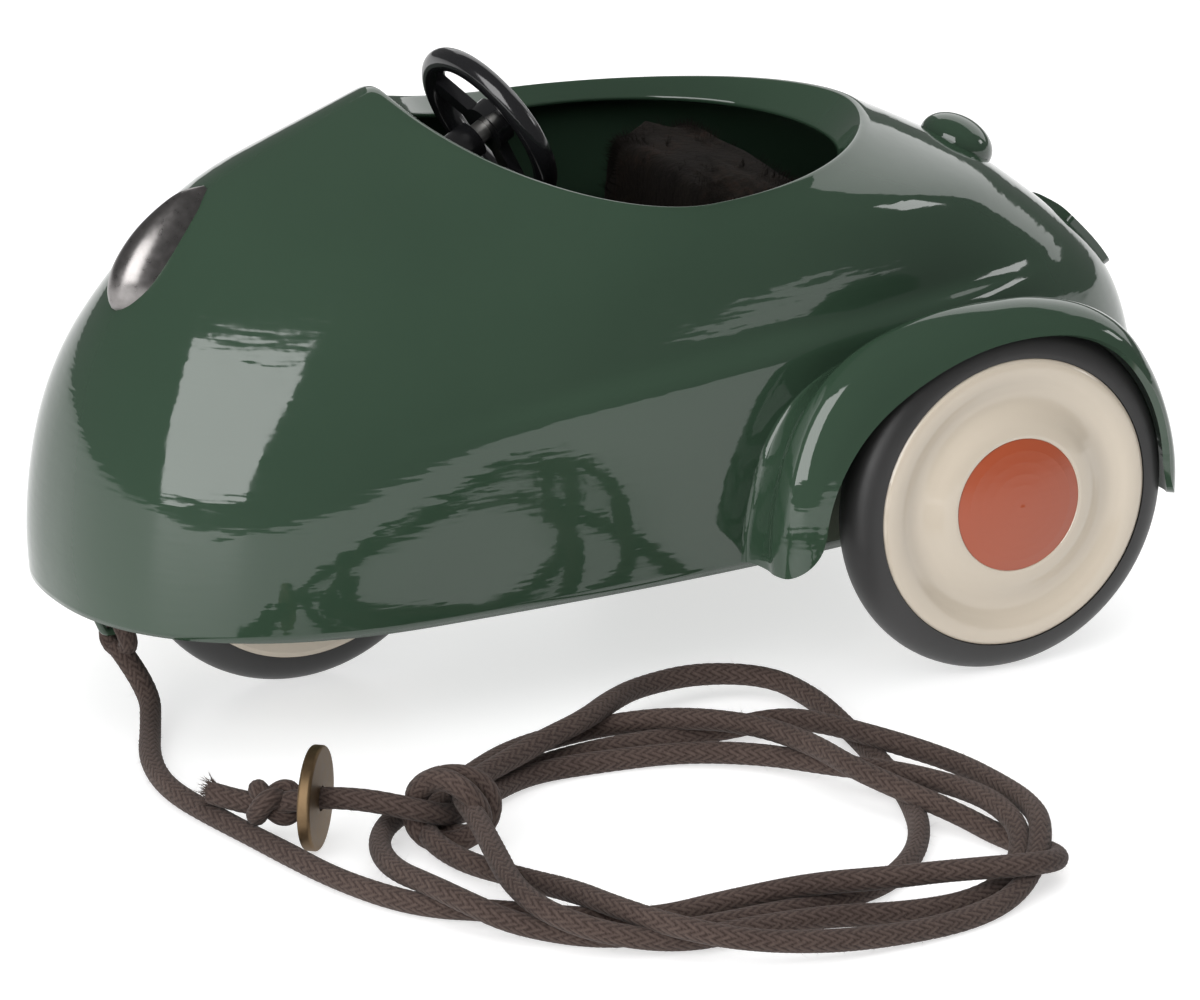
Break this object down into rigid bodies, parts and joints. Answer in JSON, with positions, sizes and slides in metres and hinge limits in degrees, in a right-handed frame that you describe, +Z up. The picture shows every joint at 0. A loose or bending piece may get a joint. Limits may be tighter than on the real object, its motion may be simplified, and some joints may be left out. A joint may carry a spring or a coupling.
{
  "type": "pull-along toy car",
  "caption": "Round-bodied pressed-metal pull-along toy car for a small doll, with rear fenders, disc wheels, a turning steering wheel, a padded seat and a braided pull cord.",
  "frame": {"origin": "on the ground, under the middle of the car without its pull cord", "axes": "+X towards the nose, +Y towards the left side, +Z up"},
  "size_m": [0.1622, 0.1689, 0.0842],
  "materials": {
    "body_paint": "gloss dark green enamel",
    "lamp_paint": "satin silver paint",
    "cream_paint": "gloss cream enamel",
    "red_paint": "gloss orange red enamel, brushed on by hand",
    "tyre_rubber": "smooth satin black rubber",
    "black_paint": "gloss black enamel",
    "bare_steel": "plain steel",
    "seat_cloth": "brushed brown felt",
    "cord_cotton": "braided brown cotton",
    "disc_brass": "aged dull brass"
  },
  "bodies": {
    "car": {"body_shell": "body_paint", "fender_left": "body_paint", "fender_right": "body_paint", "floor_pan": "body_paint", "headlamp": "lamp_paint", "deck_dome": "body_paint", "tail_plate": "body_paint", "tow_eye": "body_paint", "front_fork": "black_paint", "front_axle": "bare_steel", "front_axle_clips": "bare_steel", "rear_axle_bracket": "black_paint", "rear_axle": "bare_steel", "rear_axle_sleeves": "black_paint", "rear_axle_clips": "bare_steel", "rivets_front": "bare_steel", "rivets_rear": "bare_steel", "rivets_cockpit": "bare_steel", "seat_frame": "black_paint", "seat_cushion": "seat_cloth", "seat_back": "seat_cloth", "column_bracket": "black_paint", "column_sleeve": "black_paint", "cord_eye_loop": "cord_cotton", "cord_lead": "cord_cotton", "cord_coil": "cord_cotton", "cord_tie_knot": "cord_cotton", "cord_tail": "cord_cotton", "cord_disc": "disc_brass", "cord_end_knot": "cord_cotton"},
    "wheel_left": {"wheel_left_tyre": "tyre_rubber", "wheel_left_disc_outer": "cream_paint", "wheel_left_disc_inner": "cream_paint", "wheel_left_hub": "bare_steel", "wheel_left_centre": "red_paint"},
    "wheel_right": {"wheel_right_tyre": "tyre_rubber", "wheel_right_disc_outer": "cream_paint", "wheel_right_disc_inner": "cream_paint", "wheel_right_hub": "bare_steel", "wheel_right_centre": "red_paint"},
    "wheel_front": {"wheel_front_tyre": "tyre_rubber", "wheel_front_disc_outer": "cream_paint", "wheel_front_disc_inner": "cream_paint", "wheel_front_hub": "bare_steel"},
    "steering": {"steering_spindle": "bare_steel", "spindle_clip": "bare_steel", "steering_wheel": "black_paint", "steering_hub_cap": "black_paint"}
  },
  "joints": [
    {"name": "wheel_left_spin", "type": "hinge", "parent": "car", "child": "wheel_left", "pos_m": [-0.04043, 0.039, 0.0241], "axis": [0, 1, 0], "continuous": true},
    {"name": "wheel_right_spin", "type": "hinge", "parent": "car", "child": "wheel_right", "pos_m": [-0.04043, -0.039, 0.0241], "axis": [0, 1, 0], "continuous": true},
    {"name": "wheel_front_spin", "type": "hinge", "parent": "car", "child": "wheel_front", "pos_m": [0.04557, 0, 0.0241], "axis": [0, 1, 0], "continuous": true},
    {"name": "steering_turn", "type": "hinge", "parent": "car", "child": "steering", "pos_m": [0.01627, 0, 0.0731], "axis": [-0.8744, -0.1229, 0.4695], "continuous": true}
  ]
}
